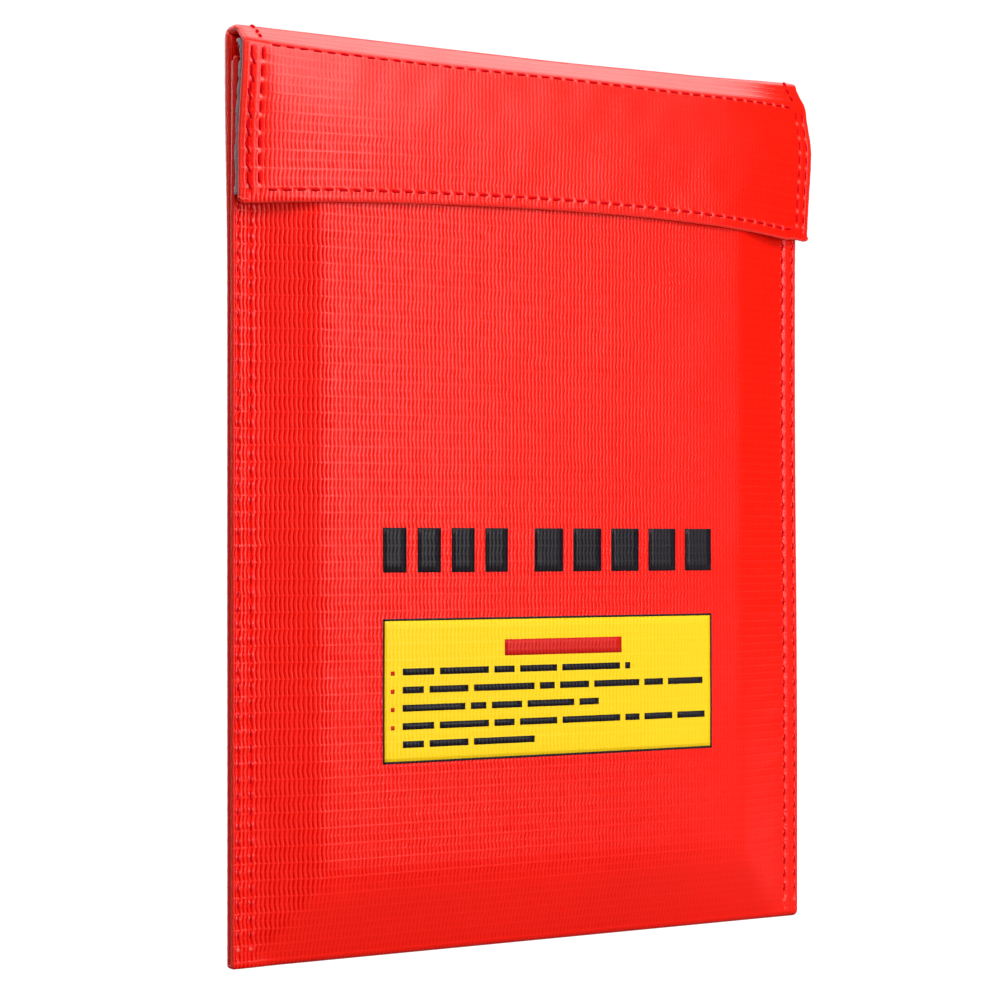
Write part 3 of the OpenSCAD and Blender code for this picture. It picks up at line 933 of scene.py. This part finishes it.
flap_cloth = cloth_object("flap_cloth", flap, red_cloth, CLOTH_T, front.v[-1])
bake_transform(flap_cloth)
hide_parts("flap_face", "flap_left_hem", "flap_right_hem", "flap_bottom_hem",
            "band_left_hem", "band_right_hem")


# ---- the linings

LINING_HALF = 108  # half-width of the pouch's lining
FLAP_LINING_HALF = 113.5
ARCH_CLEAR = 3.0  # the back's lining stops this short of the arch, which bends
RAW_EDGE = (  # the raw edge across: how far out, how deep behind the flap
    (-1.4, 2.45), (-0.4, 2.5), (0.6, 2.55), (1.4, 2.65), (1.9, 2.95), (2.0, 3.4), (1.9, 3.9),
)


def cut(cloth, u_half, v0, v1, depth):
    """A lining: the part of a cloth's grid within u_half and v0..v1, moved inwards."""
    inner = cloth.below(depth)
    cols = np.abs(cloth.u) <= u_half
    rows = (cloth.v >= v0) & (cloth.v <= v1)
    return Cloth(inner.points[rows][:, cols], cloth.u[cols], cloth.v[rows])


def lining(name, cloth):
    """A piece of the lining, as an object."""
    piece = cloth_object(name, cloth, lining_grey, LINING_T)
    return piece


def lining_edge(side):
    """The lining's raw edge, which turns out behind the flap's side hem."""
    rows = np.arange(outer_rows.flap_from, len(outer.v))
    rows = rows[outer.v[rows] <= flap_edge_v - 3.5]
    column = int(np.argmin(np.abs(outer.u - side * FLAP_SHEET_HALF)))
    face = outer.points[rows, column]
    inner = outer.below(1.0).points[rows, column] - face
    inner[:, 0] = 0
    inner /= np.linalg.norm(inner, axis=1, keepdims=True)
    fray = np.random.default_rng(8 + side).uniform(-1, 1, (len(rows), 2))
    fray = (fray + np.roll(fray, 1, 0) + np.roll(fray, -1, 0)) / 3
    grid = []
    for i, (out, deep) in enumerate(RAW_EDGE):
        loose = i / len(RAW_EDGE)
        p = face + inner * (deep + 0.7 * loose * fray[:, :1])
        p[:, 0] += side * (out + 0.45 * loose * fray[:, 1])
        grid.append(p)
    grid = np.stack(grid[::-1] if side < 0 else grid, axis=1)
    return Cloth(grid, np.arange(len(RAW_EDGE)) * 1.1, outer.v[rows])


arch_v = back.v[int(np.argmax(back.points[:, len(back.u) // 2, 2]))]
front_lining = cut(front, LINING_HALF, front_at_z(LIP_Z - 3), front_at_z(4), 1.05)
back_lining = cut(back, LINING_HALF, 2.0, arch_v - ARCH_CLEAR, 0.95)
flap_lining = cut(flap, FLAP_LINING_HALF, flap.v[0], flap_edge_v - 3, 0.9)

front_lining_cloth = lining("front_lining_cloth", front_lining)
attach(front_lining_cloth, "pouch")
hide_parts("front_lining", "lining_fold")

back_lining_cloth = lining("back_lining_cloth", back_lining)
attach(back_lining_cloth, "pouch")
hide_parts("back_lining")

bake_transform(lining("flap_lining_edge_left", lining_edge(-1)))
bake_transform(lining("flap_lining_edge_right", lining_edge(1)))

flap_lining_cloth = lining("flap_lining_cloth", flap_lining)
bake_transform(flap_lining_cloth)
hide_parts("flap_lining", "band_lining")


# ---- the stitching

SEAM_THREAD = 0.31  # thread radii
BAND_THREAD = 0.40
PRESSED_IN = {"outer": -0.16, "inner": -0.06}  # how a side seam's rows lie to the cloth
BAND_STITCH = 2.7  # the stitches over the band's ends are shorter

rng = np.random.default_rng(5)
back_mid_z = back.points[:, len(back.u) // 2, 2]
back_top = int(np.argmax(back_mid_z > ARCH_FROM))


def back_at_z(z):
    """The back cloth's v at a height below the arch."""
    return np.interp(z, back_mid_z[:back_top], back.v[:back_top])


def flap_at_z(z):
    """The flap's v at a height, going by the CAD's plain flap."""
    return flap_edge_v - (np.asarray(z, float) - FLAP_Z)


def front_stitch(low, high):
    """A CAD stitch that stands upright on the front, as a stitch on the front cloth."""
    u_now = (low[0] + high[0]) / 2
    a, b = rng.uniform(-0.12, 0.12, 2)
    return (u_now + a, front_at_z(high[2]), u_now + b, front_at_z(low[2]))


def back_stitch(low, high):
    """A CAD stitch on the back, as a stitch on the back cloth."""
    u_now = (low[0] + high[0]) / 2
    return (u_now, back_at_z(low[2]), u_now, back_at_z(high[2]))


def level_row(node, v_now):
    """A level CAD row as stitches across the flap at one place along it."""
    stitches = []
    for low, high in loose_boxes(node):
        a, b = rng.uniform(-0.12, 0.12, 2)
        stitches.append((low[0], v_now + a, high[0], v_now + b))
    return stitches


def flap_side_row(node, sign):
    """A CAD row down one side of the flap; the left one's outer row was sewn over a second time."""
    stitches = []
    for low, high in loose_boxes(node):
        is_outer = FLAP_HALF - abs(low[0] + high[0]) / 2 < 4
        u_now = sign * (FLAP_HALF - FLAP_ROWS[0 if is_outer else 1])
        a, b = rng.uniform(-0.15, 0.15, 2)
        v0, v1 = (float(flap_at_z(z)) - 0.4 for z in (high[2], low[2]))
        stitches.append((u_now + a, v0, u_now + b, v1))
        if is_outer and sign < 0:
            a, b = rng.uniform(-0.5, 0.5, 2)
            stitches.append((u_now - 0.6 + a, v0 + 1.8, u_now + 0.7 + b, v1 + 1.9))
    return stitches


def sewn(name, cloth, stitches, node=None, radius=0.36, lift=0.04):
    """A row of stitches on a cloth, which may stand for a CAD node."""
    piece = threads(name, cloth, stitches, thread_red, radius, lift)
    if node:
        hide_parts(node)
    return piece


def flap_row(part, stitches_at, where, lift=0.04):
    """One of the flap's rows. where is its place along the flap, or its side."""
    node = f"flap_{part}_stitches"
    piece = sewn(f"flap_{part}_thread", outer, stitches_at(node, where), node, lift=lift)
    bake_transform(piece)


for side in ("left", "right"):
    for row, lift in PRESSED_IN.items():
        node = f"{side}_{row}_stitches"
        boxes = loose_boxes(node)
        stitches = [front_stitch(*b) for b in boxes if b[0][1] < 0]
        piece = sewn(f"{side}_{row}_thread", front, stitches, node, SEAM_THREAD, lift)
        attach(piece, "pouch")
        stitches = [back_stitch(*b) for b in boxes if b[0][1] >= 0 and b[1][2] < ARCH_FROM]
        piece = sewn(f"{side}_{row}_thread_back", back, stitches, None, SEAM_THREAD, lift)
        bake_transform(piece)

flap_row("top", level_row, flap_crease_v + 0.35)
flap_row("bottom", level_row, flap_edge_v - EDGE_ROW)
flap_row("left", flap_side_row, -1)
flap_row("right", flap_side_row, 1, -0.12)

band_rows = []
for u_now in (INNER_ROW - FLAP_HALF, FLAP_HALF - INNER_ROW):
    for before_crease in (5.2, 8.9, 12.6):
        v_now = flap_crease_v - before_crease
        band_rows.append((u_now, v_now, u_now, v_now + BAND_STITCH))
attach(sewn("band_thread", outer, band_rows, "band_stitches", BAND_THREAD, 0.12), "band")


# ---- the closure strips

STRIP_T = 0.7
STRIP_STEP = 0.6  # between the lines of a strip's grid
STRIP_Z = (274, 254)  # both strips' upper and lower edge, closed
PILE_BEHIND = 1.35  # the hook strip, behind the flap's face


def pile_strip(name, node, base, v_ends, material, seed, tuft):
    """A closure strip lying on a cloth: a thin pad whose face is rough with pile. Gives the pad,
    and the face that its stitches lie on."""
    low, high = box_mm(node)
    u, v = (np.linspace(a, b, int((b - a) / STRIP_STEP) + 2) for a, b in ((low[0], high[0]), v_ends))
    v_grid, u_grid = np.meshgrid(v, u, indexing="ij")
    p, normal = base.frame_at(u_grid, v_grid)
    rough = np.random.default_rng(seed).uniform(-1, 1, u_grid.shape)
    rough = (rough + np.roll(rough, 1, 1) + np.roll(rough, 1, 0)) / 3
    edge = np.minimum.reduce([u_grid - u[0], u[-1] - u_grid, v_grid - v[0], v[-1] - v_grid])
    height = (STRIP_T - 0.15 + tuft * rough) * (0.55 + 0.45 * smooth(edge / 1.6))
    height = np.where(edge < 1e-6, 0.0, height)
    piece = cloth_object(name, Cloth(p + normal * height[..., None], u, v), material)
    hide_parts(node)
    return piece, Cloth(p + normal * (STRIP_T * 0.6), u, v)


def strip_rows(face):
    """Stitches along both long edges of a strip."""
    stitches = []
    for v_row in (face.v[0] + 1.1, face.v[-1] - 1.1):
        for u_start in np.arange(face.u[0] + 0.8, face.u[-1] - 4, STITCH_PITCH):
            a, b = rng.uniform(-0.1, 0.1, 2)
            stitches.append((u_start, v_row + a, u_start + STITCH_LEN, v_row + b))
    return stitches


loop_pad, loop_face = pile_strip("loop_strip_pad", "loop_strip", front, front_at_z(STRIP_Z),
                                 loop_grey, 21, 0.16)
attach(loop_pad, "pouch")
loop_thread = sewn("loop_strip_thread", loop_face, strip_rows(loop_face), "loop_strip_stitches")
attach(loop_thread, "pouch")

under_flap = flap.below(PILE_BEHIND)
under_flap = Cloth(under_flap.points[:, ::-1], -flap.u[::-1], flap.v)  # as seen from inside
hook_pad, hook_face = pile_strip("hook_strip_pad", "hook_strip", under_flap, flap_at_z(STRIP_Z),
                                 hook_grey, 22, 0.12)
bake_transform(hook_pad)
hook_thread = sewn("hook_strip_thread", hook_face, strip_rows(hook_face), "hook_strip_stitches")
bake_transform(hook_thread)

mouth_row = []
for low, high in loose_boxes("mouth_stitches"):
    a, b = rng.uniform(-0.1, 0.1, 2)
    mouth_row.append((low[0], front_at_z(low[2] + a), high[0], front_at_z(low[2] + b)))
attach(sewn("mouth_thread", front, mouth_row, "mouth_stitches"), "pouch")


# ---- the print

LINE = 0.7  # the notice's border
ON_CLOTH = 0.07  # how far the print stands off the cloth
ON_FIELD = 0.12  # and off it on top of the notice's field


def rects(node):
    """A printed CAD node's shapes, each as (x0, x1, z0, z1)."""
    return [(low[0], high[0], low[2], high[2]) for low, high in loose_boxes(node)]


def frame_rects(x0, x1, z0, z1):
    """The four sides of a border."""
    return [(x0, x1, z0, z0 + LINE), (x0, x1, z1 - LINE, z1),
            (x0, x0 + LINE, z0 + LINE, z1 - LINE), (x1 - LINE, x1, z0 + LINE, z1 - LINE)]


def printed(name, node, slot, lift, shapes=None):
    piece = ink(name, shapes or rects(node), INKS[slot], lift)
    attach(piece, "pouch")
    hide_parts(node)


printed("title_ink", "title_print", "black_ink", ON_CLOTH)
printed("notice_ink", "notice_field", "yellow_ink", ON_CLOTH)
border = frame_rects(*rects("notice_border")[0])
printed("border_ink", "notice_border", "black_ink", ON_FIELD, border)
printed("heading_ink", "notice_heading", "red_ink", ON_FIELD)
printed("line_ink", "notice_lines", "black_ink", ON_FIELD)
printed("dot_ink", "notice_dots", "red_ink", ON_FIELD)


# ---- the floor, the light and the camera

WHITE = rgb(1, 1, 1)
MIDDLE = (0, 0, 0.15)  # of the bag, in metres
CAMERA_AT = (-0.5197, -0.7671, 0.1349)
CAMERA_LOOKS = (0.5505, 0.8348, 0)
FOCAL_MM = 98.66


def floor():
    """A pale floor that the camera sees as plain white, and that throws little light back."""
    n = Nodes("pale_floor")
    n.colour(rgb(0.3, 0.3, 0.3))
    n.shader.inputs["Emission Color"].default_value = WHITE
    seen_by_camera = n.tree.nodes.new("ShaderNodeLightPath").outputs["Is Camera Ray"]
    n.link(n.math("MULTIPLY", seen_by_camera, 1.02), n.shader.inputs["Emission Strength"])
    n.finish(0.9, 0.1)
    mesh = bpy.data.meshes.new("floor")
    mesh.from_pydata([(-6, -4, 0), (6, -4, 0), (6, 9, 0), (-6, 9, 0)], [], [(0, 1, 2, 3)])
    mesh.materials.append(n.material)
    obj = bpy.data.objects.new("floor", mesh)
    obj.location.z = -0.0002
    bpy.context.scene.collection.objects.link(obj)


def turned(obj, place_m, towards):
    """Puts a light or the camera into the scene, looking in a direction."""
    obj.location = place_m
    obj.rotation_euler = Vector(towards).to_track_quat("-Z", "Y").to_euler()
    bpy.context.scene.collection.objects.link(obj)


def softbox(name, place_m, aim_m, size_m, watts):
    light = bpy.data.lights.new(name, "AREA")
    light.shape = "RECTANGLE"
    light.size, light.size_y = size_m
    light.energy = watts
    turned(bpy.data.objects.new(name, light), place_m, Vector(aim_m) - Vector(place_m))


def studio():
    """A world that lights the object faintly, and that the camera sees as white."""
    world = bpy.data.worlds.new("studio")
    world.use_nodes = True
    bpy.context.scene.world = world
    nodes, links = world.node_tree.nodes, world.node_tree.links
    choose = nodes.new("ShaderNodeMixShader")
    is_camera = nodes.new("ShaderNodeLightPath").outputs["Is Camera Ray"]
    links.new(is_camera, choose.inputs[0])
    lit, seen = nodes["Background"], nodes.new("ShaderNodeBackground")
    for node, strength, socket in ((lit, 0.04, choose.inputs[1]), (seen, 1.1, choose.inputs[2])):
        node.inputs["Color"].default_value = WHITE
        node.inputs["Strength"].default_value = strength
        links.new(node.outputs[0], socket)
    links.new(choose.outputs[0], nodes["World Output"].inputs["Surface"])


def camera():
    lens = bpy.data.cameras.new("camera")
    lens.lens, lens.sensor_width = FOCAL_MM, 36
    lens.shift_y = 0.042
    lens.clip_start, lens.clip_end = 0.05, 40
    obj = bpy.data.objects.new("camera", lens)
    turned(obj, CAMERA_AT, CAMERA_LOOKS)
    bpy.context.scene.camera = obj


floor()
softbox("front_right_softbox", (0.47, -1.42, 0.42), MIDDLE, (0.36, 1.5), 20)
softbox("overhead_softbox", (0.1, 0.35, 1.5), (0, 0, 0.3), (2.2, 1.4), 32)
softbox("front_top_softbox", (-0.2, -1.5, 1.45), MIDDLE, (2.4, 0.9), 27)
softbox("rear_softbox", (-0.3, 1.9, 0.8), MIDDLE, (2.2, 1.2), 16)
studio()
camera()
bpy.context.scene.view_settings.view_transform = "Standard"
